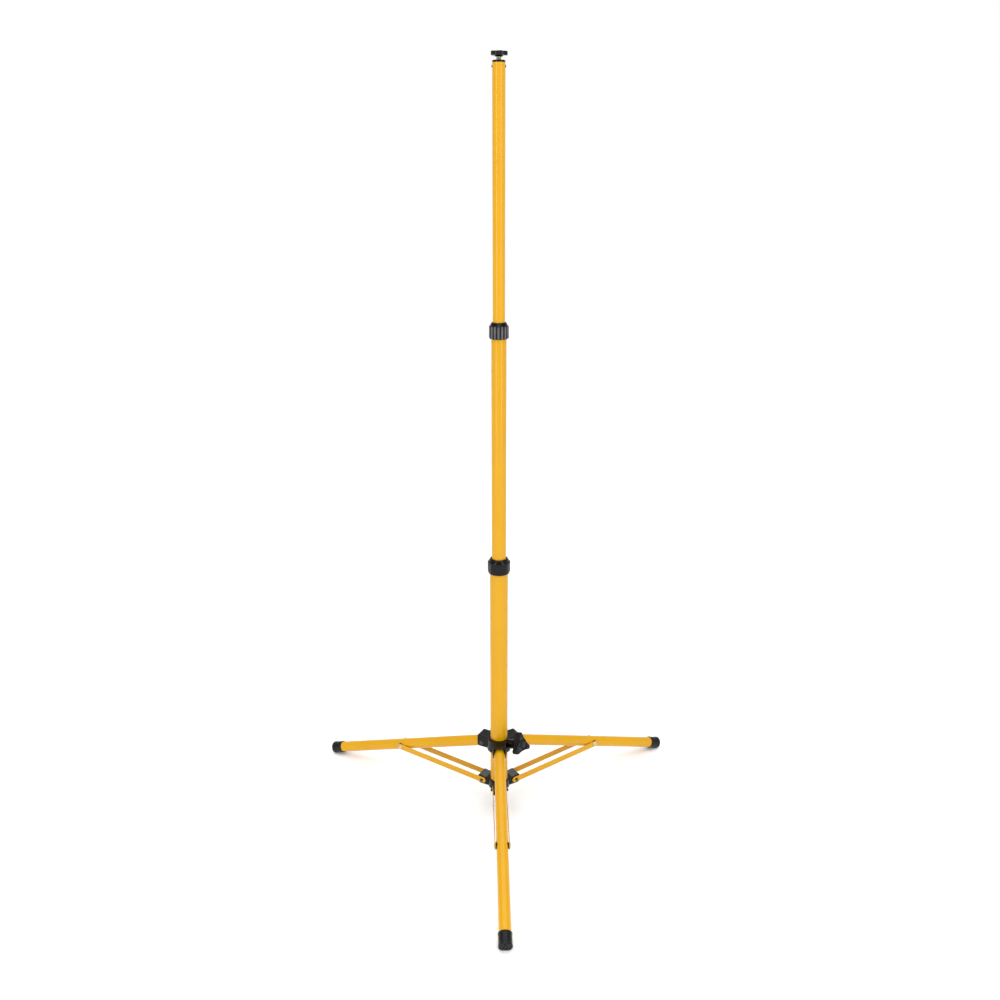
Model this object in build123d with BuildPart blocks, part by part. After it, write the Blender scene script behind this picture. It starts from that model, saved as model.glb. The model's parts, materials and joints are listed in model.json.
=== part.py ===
"""Tripod stand with a three-section telescopic mast, for holding a work light.

Millimetres, +Z up. The origin is the point on the floor below the mast axis.
The front leg points along -Y; the other two stand 120 degrees either side of it.
The stand is modelled opened out and fully extended.
"""
from build123d import *
import os
from math import atan2, cos, degrees, hypot, radians, sin, tau

os.makedirs("parts", exist_ok=True)

# ---------------------------------------------------------------- driving dimensions
LEGS = {"front": -90, "right": 30, "left": 150}   # azimuth of each leg, degrees

LOWER_R = 16.0            # mast tubes, outer radii
MIDDLE_R = 12.5
UPPER_R = 10.0
LEG_R = 10.0
WALL = 1.2                # wall of every tube
SLIDE_GAP = 0.3           # radial gap between parts that slide on each other
PIN_GAP = 0.05            # radial running clearance on every pivot

LOWER_BOTTOM, LOWER_TOP = 47.0, 492.0
MIDDLE_BOTTOM, MIDDLE_TOP = 442.0, 896.0
UPPER_BOTTOM, UPPER_TOP = 850.0, 1293.5

LEG_SLOPE = 18.93         # legs, degrees below horizontal when open
LEG_REACH = 371.0         # hub pivot to the end of the foot cap, along the leg
RIVET_REACH = 192.4       # hub pivot to the brace rivet, along the leg
HUB_PIVOT_R = 31.0        # distance of the leg pivots from the mast axis
SPIDER_PIVOT_R = 30.0     # distance of the brace pivots from the mast axis
SPIDER_PIVOT_Z = 51.0
FOLDED_SLOPE = 86.0       # legs, degrees below horizontal when folded

FOOT_R = 11.5
FOOT_EDGE = 1.2           # bevel round the end of a foot cap
FOOT_FLAT = 1.2           # depth of the flat that a foot cap stands on

PIN_R = 2.5               # every pivot pin and rivet
HEAD_R = 4.0
HEAD_H = 1.2
HEAD_TAPER = 25           # slope of a rivet head's rim, degrees
STRIP_W = 11.0            # brace strips
STRIP_T = 1.5
STRIP_IN = 11.5           # inner face of a strip, from the middle of the leg
STRIP_END = 8.0           # pivot to the rounded end of a strip
STUB_L = 3.4              # length of the brace end pins past the strips
STUB_ROUND = 1.2

THREAD_R = 4.0            # lamp stud and clamp screw, M8
THREAD_PITCH = 1.25

CUT = 1.0                 # how far a cut runs past the face it opens

# ---------------------------------------------------------------- derived positions
HUB_PIVOT_Z = ((LEG_REACH - FOOT_EDGE) * sin(radians(LEG_SLOPE))
               + FOOT_R * cos(radians(LEG_SLOPE)) - FOOT_FLAT)
RIVET_RADIUS = HUB_PIVOT_R + RIVET_REACH * cos(radians(LEG_SLOPE))
RIVET_HEIGHT = HUB_PIVOT_Z - RIVET_REACH * sin(radians(LEG_SLOPE))
BRACE_REACH = hypot(RIVET_RADIUS - SPIDER_PIVOT_R, RIVET_HEIGHT - SPIDER_PIVOT_Z)
BRACE_SLOPE = degrees(atan2(RIVET_HEIGHT - SPIDER_PIVOT_Z, RIVET_RADIUS - SPIDER_PIVOT_R))


# ---------------------------------------------------------------- planes and outlines
def radial_plane(azimuth, lateral=0.0):
    """Upright plane through the mast: X outwards, Y up, shifted sideways by lateral."""
    across = Vector(sin(radians(azimuth)), -cos(radians(azimuth)), 0)
    outward = (cos(radians(azimuth)), sin(radians(azimuth)), 0)
    return Plane(origin=across * lateral, x_dir=outward, z_dir=across)


def leg_plane(azimuth, reach):
    """Plane square to an open leg, at a distance along it from the hub pivot."""
    radius = HUB_PIVOT_R + reach * cos(radians(LEG_SLOPE))
    height = HUB_PIVOT_Z - reach * sin(radians(LEG_SLOPE))
    outward = Vector(cos(radians(azimuth)), sin(radians(azimuth)), 0)
    across = Vector(sin(radians(azimuth)), -cos(radians(azimuth)), 0)
    along = outward * cos(radians(LEG_SLOPE)) - Vector(0, 0, sin(radians(LEG_SLOPE)))
    return Plane(origin=outward * radius + Vector(0, 0, height), x_dir=across, z_dir=along)


def save(piece, name):
    """Label a finished piece and write its STEP file."""
    piece.part.label = name
    export_step(piece.part, f"parts/{name}.step")


def lobed_outline(lobes, lobe_distance, lobe_radius, valley_radius, first_angle):
    """Line round a knob: convex lobes joined by tangent concave arcs."""
    half = radians(180 / lobes)
    step = lobe_radius - valley_radius
    concave_distance = (lobe_distance ** 2 - step ** 2) / (2 * (lobe_distance * cos(half) + step))
    concave_radius = concave_distance - valley_radius

    def polar(distance, angle):
        return Vector(distance * cos(angle), distance * sin(angle))

    for index in range(lobes):
        angle = radians(first_angle) + index * 2 * half
        centre = polar(lobe_distance, angle)
        before = polar(concave_distance, angle - half)
        after = polar(concave_distance, angle + half)
        share = lobe_radius / (lobe_radius + concave_radius)
        start = centre + (before - centre) * share
        end = centre + (after - centre) * share
        tip = polar(lobe_distance + lobe_radius, angle)
        next_centre = polar(lobe_distance, angle + 2 * half)
        next_start = next_centre + (after - next_centre) * share
        ThreePointArc(start, tip, end)
        ThreePointArc(end, polar(valley_radius, angle + half), next_start)


# ---------------------------------------------------------------- mast tubes
RIM_BEVEL = 0.4


def mast_tube(radius, bottom, top):
    """Round tube with a small bevel on both outer rims."""
    with BuildPart() as tube:
        with BuildSketch(Plane.XY.offset(bottom)):
            Circle(radius)
            Circle(radius - WALL, mode=Mode.SUBTRACT)
        extrude(amount=top - bottom)
        circles = tube.edges().filter_by(GeomType.CIRCLE)
        chamfer(circles.sort_by(SortBy.RADIUS)[-2:], length=RIM_BEVEL)
    return tube


lower_tube = mast_tube(LOWER_R, LOWER_BOTTOM, LOWER_TOP)
save(lower_tube, "lower_tube")

middle_tube = mast_tube(MIDDLE_R, MIDDLE_BOTTOM, MIDDLE_TOP)
save(middle_tube, "middle_tube")

PLUG_PIN_Z = UPPER_TOP - 5.5
PLUG_PIN_R = 2.0
with BuildPart() as upper_tube:
    add(mast_tube(UPPER_R, UPPER_BOTTOM, UPPER_TOP).part)
    with BuildSketch(Plane.YZ):
        with Locations((0, PLUG_PIN_Z)):
            Circle(PLUG_PIN_R)
    extrude(amount=UPPER_R + CUT, both=True, mode=Mode.SUBTRACT)
save(upper_tube, "upper_tube")


# ---------------------------------------------------------------- guide bushes in the mast
BUSH_H = 28.0             # whole length of a bush
FLANGE_H = 8.0            # part of it that stands below the tube
BUSH_WALL = 2.0
BUSH_BEVEL = 0.8


def guide_bush(tube_radius, outer_tube_radius, tube_bottom):
    """Sleeve inside the foot of a tube, with a flange that runs in the outer tube."""
    flange_r = outer_tube_radius - WALL - SLIDE_GAP
    body_r = tube_radius - WALL
    with BuildPart() as bush:
        with BuildSketch(Plane.XY.offset(tube_bottom - FLANGE_H)):
            Circle(flange_r)
        extrude(amount=FLANGE_H)
        with BuildSketch(Plane.XY.offset(tube_bottom)):
            Circle(body_r)
        extrude(amount=BUSH_H - FLANGE_H)
        with BuildSketch(Plane.XY.offset(tube_bottom - FLANGE_H)):
            Circle(body_r - BUSH_WALL)
        extrude(amount=BUSH_H, mode=Mode.SUBTRACT)
        lower_rim = bush.edges().group_by(Axis.Z)[0].sort_by(SortBy.LENGTH)[-1]
        chamfer(lower_rim, length=BUSH_BEVEL)
    return bush


save(guide_bush(MIDDLE_R, LOWER_R, MIDDLE_BOTTOM), "middle_bush")
save(guide_bush(UPPER_R, MIDDLE_R, UPPER_BOTTOM), "upper_bush")


# ---------------------------------------------------------------- twist locks
def lock_body(lock):
    """Threaded body pressed over the top of a tube; the inner tube runs through it."""
    height = lock["collet_bottom"] - lock["body_bottom"]
    with BuildPart() as body:
        with BuildSketch(Plane.XY.offset(lock["body_bottom"])):
            Circle(lock["body_r"])
        extrude(amount=height)
        with BuildSketch(Plane.XY.offset(lock["body_bottom"])):
            Circle(lock["tube_r"])
        extrude(amount=lock["tube_top"] - lock["body_bottom"], mode=Mode.SUBTRACT)
        with BuildSketch(Plane.XY.offset(lock["body_bottom"])):
            Circle(lock["inner_r"] + SLIDE_GAP)
        extrude(amount=height, mode=Mode.SUBTRACT)
    return body


def lock_collet(lock):
    """Split tapered ring that the nut closes on the inner tube."""
    bore = lock["inner_r"] + SLIDE_GAP
    bottom, top = lock["collet_bottom"], lock["collet_top"]
    with BuildPart() as collet:
        with BuildSketch(Plane.XZ):
            Polygon((bore, bottom), (lock["collet_foot_r"], bottom), (lock["collet_tip_r"], top),
                    (bore, top), align=None)
        revolve(axis=Axis.Z)
        with BuildSketch(Plane.XY.offset(bottom)):
            with Locations((lock["collet_foot_r"], 0)):
                Rectangle(2 * lock["collet_foot_r"] - 2 * bore + 2 * CUT, lock["slit"])
        extrude(amount=top - bottom, mode=Mode.SUBTRACT)
    return collet


def lock_nut(lock, profile):
    """Nut turned from its outer profile, with rounded upright ribs and a stepped bore."""
    bottom, top = profile[0][1], profile[-1][1]
    wide_r = lock["body_r"] + SLIDE_GAP
    cone_top = lock["collet_top"] + SLIDE_GAP
    with BuildPart() as nut:
        with BuildSketch(Plane.XZ):
            Polygon(*profile, align=None)
        revolve(axis=Axis.Z)
        with BuildSketch(Plane.XY.offset(lock["rib_bottom"])):
            for azimuth in lock["rib_azimuths"]:
                with PolarLocations(lock["rib_at"], 1, start_angle=azimuth):
                    Circle(lock["rib_r"])
        extrude(amount=lock["rib_top"] - lock["rib_bottom"])
        with BuildSketch(Plane.XZ):
            Polygon((0, bottom - CUT), (wide_r, bottom - CUT), (wide_r, lock["collet_bottom"]),
                    (lock["collet_tip_r"] + SLIDE_GAP, cone_top), (lock["mouth_r"], cone_top),
                    (lock["mouth_r"], top + CUT), (0, top + CUT), align=None)
        revolve(axis=Axis.Z, mode=Mode.SUBTRACT)
    return nut


# Lower lock, between the 32 mm and the 25 mm tube: a run of ribs on either side.
LOWER_NUT_BOTTOM, LOWER_NUT_TOP = 473.0, 500.0
LOWER_NUT_R = 18.8
LOWER_SHOULDER_R = 17.2
LOWER_RIB_STEP = 12       # degrees from rib to rib
lower_lock = {
    "tube_r": LOWER_R, "tube_top": LOWER_TOP, "inner_r": MIDDLE_R,
    "body_bottom": 475.0, "body_r": 17.4, "collet_bottom": 493.0, "collet_top": 498.2,
    "collet_foot_r": 15.2, "collet_tip_r": 13.9, "slit": 1.5, "mouth_r": 13.1,
    "rib_azimuths": [side + step * LOWER_RIB_STEP for side in (0, 180) for step in range(-3, 4)],
    "rib_at": LOWER_NUT_R - 0.9, "rib_r": 1.5, "rib_bottom": 474.5, "rib_top": 492.5}
lower_profile = [
    (MIDDLE_R, LOWER_NUT_BOTTOM), (LOWER_NUT_R - 0.8, LOWER_NUT_BOTTOM),
    (LOWER_NUT_R, LOWER_NUT_BOTTOM + 0.8), (LOWER_NUT_R, 493.5),
    (LOWER_SHOULDER_R, 496.0), (14.6, LOWER_NUT_TOP), (MIDDLE_R, LOWER_NUT_TOP)]
save(lock_body(lower_lock), "lower_lock_body")
save(lock_collet(lower_lock), "lower_lock_collet")
save(lock_nut(lower_lock, lower_profile), "lower_lock_nut")

# Upper lock, between the 25 mm and the 20 mm tube: ribs all round.
UPPER_NUT_BOTTOM, UPPER_NUT_TOP = 881.0, 907.5
UPPER_NUT_R = 15.4
UPPER_RIBS = 16
FIRST_RIB = -3.8          # azimuth of the first rib, degrees
upper_lock = {
    "tube_r": MIDDLE_R, "tube_top": MIDDLE_TOP, "inner_r": UPPER_R,
    "body_bottom": 882.5, "body_r": 13.8, "collet_bottom": 898.5, "collet_top": 905.0,
    "collet_foot_r": 13.0, "collet_tip_r": 11.4, "slit": 1.2, "mouth_r": 10.6,
    "rib_azimuths": [FIRST_RIB + index * 360 / UPPER_RIBS for index in range(UPPER_RIBS)],
    "rib_at": UPPER_NUT_R - 1.1, "rib_r": 1.9, "rib_bottom": UPPER_NUT_BOTTOM, "rib_top": 901.5}
upper_profile = [
    (UPPER_R, UPPER_NUT_BOTTOM), (UPPER_NUT_R, UPPER_NUT_BOTTOM), (UPPER_NUT_R - 0.2, 902.0),
    (12.0, UPPER_NUT_TOP - 0.6), (11.5, UPPER_NUT_TOP), (UPPER_R, UPPER_NUT_TOP)]
save(lock_body(upper_lock), "upper_lock_body")
save(lock_collet(upper_lock), "upper_lock_collet")
save(lock_nut(upper_lock, upper_profile), "upper_lock_nut")


# ---------------------------------------------------------------- top of the mast
PLUG_RIM = 3.0
PLUG_BEVEL = 0.6
PLUG_DEPTH = 25.0
STUD_DEPTH = 18.0         # length of the lamp stud below the plug rim
with BuildPart() as top_plug:
    with BuildSketch(Plane.XY.offset(UPPER_TOP)):
        Circle(UPPER_R)
    extrude(amount=PLUG_RIM)
    chamfer(top_plug.edges().group_by(Axis.Z)[-1], length=PLUG_BEVEL)
    with BuildSketch(Plane.XY.offset(UPPER_TOP - PLUG_DEPTH)):
        Circle(UPPER_R - WALL)
    extrude(amount=PLUG_DEPTH)
    with BuildSketch(Plane.XY.offset(UPPER_TOP - STUD_DEPTH)):
        Circle(THREAD_R)
    extrude(amount=PLUG_RIM + STUD_DEPTH, mode=Mode.SUBTRACT)
    with BuildSketch(Plane.YZ):
        with Locations((0, PLUG_PIN_Z)):
            Circle(PLUG_PIN_R)
    extrude(amount=UPPER_R, both=True, mode=Mode.SUBTRACT)
save(top_plug, "top_plug")

PLUG_PIN_LENGTH = 4.5
PLUG_PIN_OUT = 0.9        # how far a plug pin stands out of the tube
with BuildPart() as plug_pins:
    for side in (1, -1):
        face = Plane(origin=(side * (UPPER_R + PLUG_PIN_OUT), 0, PLUG_PIN_Z),
                     x_dir=(0, 1, 0), z_dir=(-side, 0, 0))
        with BuildSketch(face):
            Circle(PLUG_PIN_R)
        extrude(amount=PLUG_PIN_LENGTH)
save(plug_pins, "plug_pins")

STUD_TOP = UPPER_TOP + 11.5
THREAD_LEAD = 0.8         # bevel on the end of the thread
with BuildPart() as lamp_stud:
    with BuildSketch(Plane.XY.offset(UPPER_TOP - STUD_DEPTH)):
        Circle(THREAD_R)
    extrude(amount=STUD_TOP - UPPER_TOP + STUD_DEPTH)
    chamfer(lamp_stud.edges().group_by(Axis.Z)[-1], length=THREAD_LEAD)
save(lamp_stud, "lamp_stud")

KNOB_BOTTOM = UPPER_TOP + 7.6
KNOB_TOP = UPPER_TOP + 15.5
KNOB_RIM = 6.2            # height of the knob's lobed rim
RIM_BOTTOM = KNOB_TOP - KNOB_RIM
NECK_R = 5.8
NECK_TOP_R = 8.0
INSERT_R = 5.0
INSERT_BOTTOM = KNOB_BOTTOM + 1.0
INSERT_TOP = KNOB_TOP - 1.6
INSERT_GAP = 0.1          # end play of the brass insert
with BuildPart() as lamp_knob:
    with BuildSketch(Plane.XY.offset(RIM_BOTTOM)):
        with BuildLine():
            lobed_outline(lobes=5, lobe_distance=9.2, lobe_radius=4.1, valley_radius=10.6, first_angle=-78)
        make_face()
    extrude(amount=KNOB_RIM)
    fillet(lamp_knob.edges().group_by(Axis.Z)[-1], radius=1.2)
    fillet(lamp_knob.edges().group_by(Axis.Z)[0], radius=0.8)
    with BuildSketch(Plane.XZ):
        Polygon((0, KNOB_BOTTOM), (NECK_R, KNOB_BOTTOM), (NECK_TOP_R, RIM_BOTTOM + CUT),
                (0, RIM_BOTTOM + CUT), align=None)
    revolve(axis=Axis.Z)
    with BuildSketch(Plane.XY.offset(INSERT_BOTTOM)):
        Circle(INSERT_R + PIN_GAP)
    extrude(amount=INSERT_TOP - INSERT_BOTTOM + INSERT_GAP, mode=Mode.SUBTRACT)
    with BuildSketch(Plane.XY.offset(KNOB_BOTTOM)):
        Circle(THREAD_R + SLIDE_GAP)
    extrude(amount=INSERT_BOTTOM - KNOB_BOTTOM, mode=Mode.SUBTRACT)
save(lamp_knob, "lamp_knob")

with BuildPart() as lamp_knob_insert:
    with BuildSketch(Plane.XY.offset(INSERT_BOTTOM + INSERT_GAP)):
        Circle(INSERT_R)
        Circle(THREAD_R + PIN_GAP, mode=Mode.SUBTRACT)
    extrude(amount=INSERT_TOP - INSERT_BOTTOM - INSERT_GAP)
save(lamp_knob_insert, "lamp_knob_insert")


# ---------------------------------------------------------------- sliding leg hub
HUB_BOTTOM = HUB_PIVOT_Z - 8.0
HUB_TOP = HUB_PIVOT_Z + 15.7
HUB_R = 22.0
HUB_BORE_R = LOWER_R + SLIDE_GAP
HUB_ROUND = 1.8           # rounding of the hub's upper edges
ARM_START = 10.0          # an arm is drawn from inside the hub ring
ARM_END = 39.5
ARM_HALF = 12.2
ARM_TOE = 5.0             # corner radii at the end of an arm
ARM_SHOULDER = 3.0
CHANNEL_HALF = LEG_R + 0.35
CHANNEL_INNER = 18.4      # inner wall of a leg channel, from the mast axis
CHANNEL_ROOF = HUB_PIVOT_Z + 12.8
SWING_R = 12.7            # room for the leg's end to swing in

CLAMP_AZIMUTH = -37
CLAMP_TILT = 18           # the clamp screw rises outwards
CLAMP_Z = HUB_PIVOT_Z + 0.9
BOSS_START = 15.0         # distances along the clamp screw from the mast axis
BOSS_END = 37.5
BOSS_R = 8.5
NUT_FLATS = 13.0
NUT_T = 6.5


def arm_side(end, bottom, shoulder, toe_radius, shoulder_radius, root):
    """Side view of an arm: rounded toe and shoulder, its top falling to the root."""
    Line((ARM_START, bottom), (end - toe_radius, bottom))
    TangentArc((end - toe_radius, bottom), (end, bottom + toe_radius), tangent=(1, 0))
    Line((end, bottom + toe_radius), (end, shoulder - shoulder_radius))
    TangentArc((end, shoulder - shoulder_radius), (end - shoulder_radius, shoulder), tangent=(0, 1))
    Polyline((end - shoulder_radius, shoulder), root, (ARM_START, root[1]), (ARM_START, bottom))


def clamp_plane(distance):
    """Plane square to the clamp screw, at a distance along it from the mast axis."""
    azimuth, tilt = radians(CLAMP_AZIMUTH), radians(CLAMP_TILT)
    along = Vector(cos(azimuth) * cos(tilt), sin(azimuth) * cos(tilt), sin(tilt))
    return Plane(origin=along * distance + Vector(0, 0, CLAMP_Z),
                 x_dir=(-sin(azimuth), cos(azimuth), 0), z_dir=along)


with BuildPart() as leg_hub:
    with BuildSketch(Plane.XY.offset(HUB_BOTTOM)):
        Circle(HUB_R)
    extrude(amount=HUB_TOP - HUB_BOTTOM)
    for azimuth in LEGS.values():
        with BuildSketch(radial_plane(azimuth)):
            with BuildLine():
                arm_side(ARM_END, HUB_BOTTOM, HUB_TOP, ARM_TOE, ARM_SHOULDER, (HUB_R, HUB_TOP))
            make_face()
        extrude(amount=ARM_HALF, both=True)
    fillet(leg_hub.edges().group_by(Axis.Z)[-1], radius=HUB_ROUND)
    with BuildSketch(clamp_plane(BOSS_START)):
        Circle(BOSS_R)
    extrude(amount=BOSS_END - BOSS_START)
    with BuildSketch(Plane.XY.offset(HUB_BOTTOM)):
        Circle(HUB_BORE_R)
    extrude(amount=HUB_TOP - HUB_BOTTOM + CUT, mode=Mode.SUBTRACT)
    for azimuth in LEGS.values():
        with BuildSketch(radial_plane(azimuth)):
            with BuildLine():
                Polyline((CHANNEL_INNER, HUB_BOTTOM - CUT), (ARM_END + CUT, HUB_BOTTOM - CUT),
                         (ARM_END + CUT, CHANNEL_ROOF), (HUB_PIVOT_R, CHANNEL_ROOF))
                RadiusArc((HUB_PIVOT_R, CHANNEL_ROOF), (CHANNEL_INNER, HUB_PIVOT_Z), -SWING_R)
                Line((CHANNEL_INNER, HUB_PIVOT_Z), (CHANNEL_INNER, HUB_BOTTOM - CUT))
            make_face()
        extrude(amount=CHANNEL_HALF, both=True, mode=Mode.SUBTRACT)
        with BuildSketch(radial_plane(azimuth)):
            with Locations((HUB_PIVOT_R, HUB_PIVOT_Z)):
                Circle(PIN_R)
        extrude(amount=ARM_HALF + CUT, both=True, mode=Mode.SUBTRACT)
    with BuildSketch(clamp_plane(ARM_START)):
        Circle(THREAD_R + SLIDE_GAP)
    extrude(amount=BOSS_END, mode=Mode.SUBTRACT)
    with BuildSketch(clamp_plane(BOSS_END - NUT_T)):
        RegularPolygon(NUT_FLATS / 2, 6, major_radius=False)
    extrude(amount=NUT_T + CUT, mode=Mode.SUBTRACT)
save(leg_hub, "leg_hub")

with BuildPart() as hub_pins:
    for azimuth in LEGS.values():
        for side in (1, -1):
            with BuildSketch(radial_plane(azimuth, side * ARM_HALF)):
                with Locations((HUB_PIVOT_R, HUB_PIVOT_Z)):
                    Circle(HEAD_R)
            extrude(amount=side * HEAD_H, taper=HEAD_TAPER)
        with BuildSketch(radial_plane(azimuth)):
            with Locations((HUB_PIVOT_R, HUB_PIVOT_Z)):
                Circle(PIN_R)
        extrude(amount=ARM_HALF, both=True)
save(hub_pins, "hub_pins")


# ---------------------------------------------------------------- mast clamp on the hub
NUT_CLEARANCE = 0.1
with BuildPart() as clamp_nut:
    with BuildSketch(clamp_plane(BOSS_END - NUT_T)):
        RegularPolygon(NUT_FLATS / 2, 6, major_radius=False)
        Circle(THREAD_R + NUT_CLEARANCE, mode=Mode.SUBTRACT)
    extrude(amount=NUT_T)
save(clamp_nut, "clamp_nut")

PAD_START, PAD_END = 14.0, 20.0
with BuildPart() as clamp_pad:
    with BuildSketch(clamp_plane(PAD_START)):
        Circle(THREAD_R)
    extrude(amount=PAD_END - PAD_START)
    with BuildSketch(Plane.XY.offset(HUB_BOTTOM)):
        Circle(HUB_BORE_R)
    extrude(amount=HUB_TOP - HUB_BOTTOM, mode=Mode.SUBTRACT)
save(clamp_pad, "clamp_pad")

KNOB_NECK = 40.5          # inner end of the clamp knob's neck
KNOB_BACK = 44.3
KNOB_FRONT = 56.4
KNOB_NECK_R = 7.0
SCREW_END = 51.0
with BuildPart() as clamp_screw:
    with BuildSketch(clamp_plane(PAD_END + PIN_GAP)):
        Circle(THREAD_R)
    extrude(amount=SCREW_END - PAD_END - PIN_GAP)
save(clamp_screw, "clamp_screw")


def rim_edges(knob, distance):
    """Edges of a knob that lie square to the clamp screw at a distance along it."""
    level = clamp_plane(distance)
    return knob.edges().filter_by(lambda edge: abs(level.to_local_coords(edge.center()).Z) < 0.01)


with BuildPart() as clamp_knob:
    with BuildSketch(clamp_plane(KNOB_BACK)):
        with BuildLine():
            lobed_outline(lobes=3, lobe_distance=17.5, lobe_radius=5.0, valley_radius=11.7, first_angle=-38)
        make_face()
    extrude(amount=KNOB_FRONT - KNOB_BACK)
    fillet(rim_edges(clamp_knob, KNOB_FRONT), radius=2.5)
    fillet(rim_edges(clamp_knob, KNOB_BACK), radius=1.5)
    with BuildSketch(clamp_plane(KNOB_NECK)):
        Circle(KNOB_NECK_R)
    extrude(amount=KNOB_BACK - KNOB_NECK + CUT)
    with BuildSketch(clamp_plane(KNOB_NECK)):
        Circle(THREAD_R)
    extrude(amount=SCREW_END - KNOB_NECK, mode=Mode.SUBTRACT)
save(clamp_knob, "clamp_knob")


# ---------------------------------------------------------------- lower spider
CUP_TOP = 58.5
CUP_R = 19.5
SPIDER_BOTTOM = 42.5
SPIDER_FLOOR = LOWER_BOTTOM
SPIDER_ARM_HALF = STRIP_IN - 0.3
SPIDER_ARM_END = 38.5
SPIDER_ARM_TOP = 60.0
SPIDER_ARM_ROOT = (22.0, 57.8)   # radius and height where an arm leaves the cup
SPIDER_TOE = 5.0
SPIDER_SHOULDER = 3.8
SCREW_R = 3.0
SCREW_HEAD_R = 5.5
SCREW_HEAD_H = 3.0
SCREW_SUNK = 2.0          # depth of the screw head in the spider
with BuildPart() as spider:
    with BuildSketch(Plane.XY.offset(SPIDER_BOTTOM)):
        Circle(CUP_R)
    extrude(amount=CUP_TOP - SPIDER_BOTTOM)
    for azimuth in LEGS.values():
        with BuildSketch(radial_plane(azimuth)):
            with BuildLine():
                arm_side(SPIDER_ARM_END, SPIDER_BOTTOM, SPIDER_ARM_TOP, SPIDER_TOE, SPIDER_SHOULDER,
                         SPIDER_ARM_ROOT)
            make_face()
        extrude(amount=SPIDER_ARM_HALF, both=True)
    with BuildSketch(Plane.XY.offset(SPIDER_FLOOR)):
        Circle(LOWER_R)
    extrude(amount=CUP_TOP - SPIDER_FLOOR, mode=Mode.SUBTRACT)
    for azimuth in LEGS.values():
        with BuildSketch(radial_plane(azimuth)):
            with Locations((SPIDER_PIVOT_R, SPIDER_PIVOT_Z)):
                Circle(PIN_R)
        extrude(amount=SPIDER_ARM_HALF + CUT, both=True, mode=Mode.SUBTRACT)
    with BuildSketch(Plane.XY.offset(SPIDER_BOTTOM)):
        Circle(SCREW_R)
    extrude(amount=SPIDER_FLOOR - SPIDER_BOTTOM, mode=Mode.SUBTRACT)
    with BuildSketch(Plane.XY.offset(SPIDER_BOTTOM)):
        Circle(SCREW_HEAD_R)
    extrude(amount=SCREW_SUNK, mode=Mode.SUBTRACT)
save(spider, "spider")

with BuildPart() as spider_axles:
    for azimuth in LEGS.values():
        with BuildSketch(radial_plane(azimuth)):
            with Locations((SPIDER_PIVOT_R, SPIDER_PIVOT_Z)):
                Circle(PIN_R)
        extrude(amount=SPIDER_ARM_HALF, both=True)
save(spider_axles, "spider_axles")

END_PLUG_H = 11.0
with BuildPart() as mast_end_plug:
    with BuildSketch(Plane.XY.offset(LOWER_BOTTOM)):
        Circle(LOWER_R - WALL)
        Circle(SCREW_R, mode=Mode.SUBTRACT)
    extrude(amount=END_PLUG_H)
save(mast_end_plug, "mast_end_plug")

SCREW_LENGTH = 13.0
SOCKET_R = 2.5
SOCKET_DEPTH = 2.0
with BuildPart() as spider_screw:
    with BuildSketch(Plane.XY.offset(SPIDER_BOTTOM + SCREW_SUNK)):
        Circle(SCREW_R)
    extrude(amount=SCREW_LENGTH)
    with BuildSketch(Plane.XY.offset(SPIDER_BOTTOM + SCREW_SUNK)):
        Circle(SCREW_HEAD_R)
    extrude(amount=-SCREW_HEAD_H)
    with BuildSketch(Plane.XY.offset(SPIDER_BOTTOM + SCREW_SUNK - SCREW_HEAD_H)):
        RegularPolygon(SOCKET_R, 6)
    extrude(amount=SOCKET_DEPTH, mode=Mode.SUBTRACT)
save(spider_screw, "spider_screw")


# ---------------------------------------------------------------- legs and braces
TUBE_START = -7.0         # upper end of a leg tube, past the hub pivot
TUBE_END = LEG_REACH - 4.0
CAP_MOUTH = LEG_REACH - 23.0
LEG_PLUG_L = 22.0
SPACER_R = 5.6
SPACER_START = 6.0        # spacers and rivets, measured sideways from the middle of the leg
SPACER_END = STRIP_IN - 0.2
SADDLE_HALF = 10.0        # half length of the cut that seats a spacer on its leg
RIVET_HALF = STRIP_IN + STRIP_T + 0.2

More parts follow.
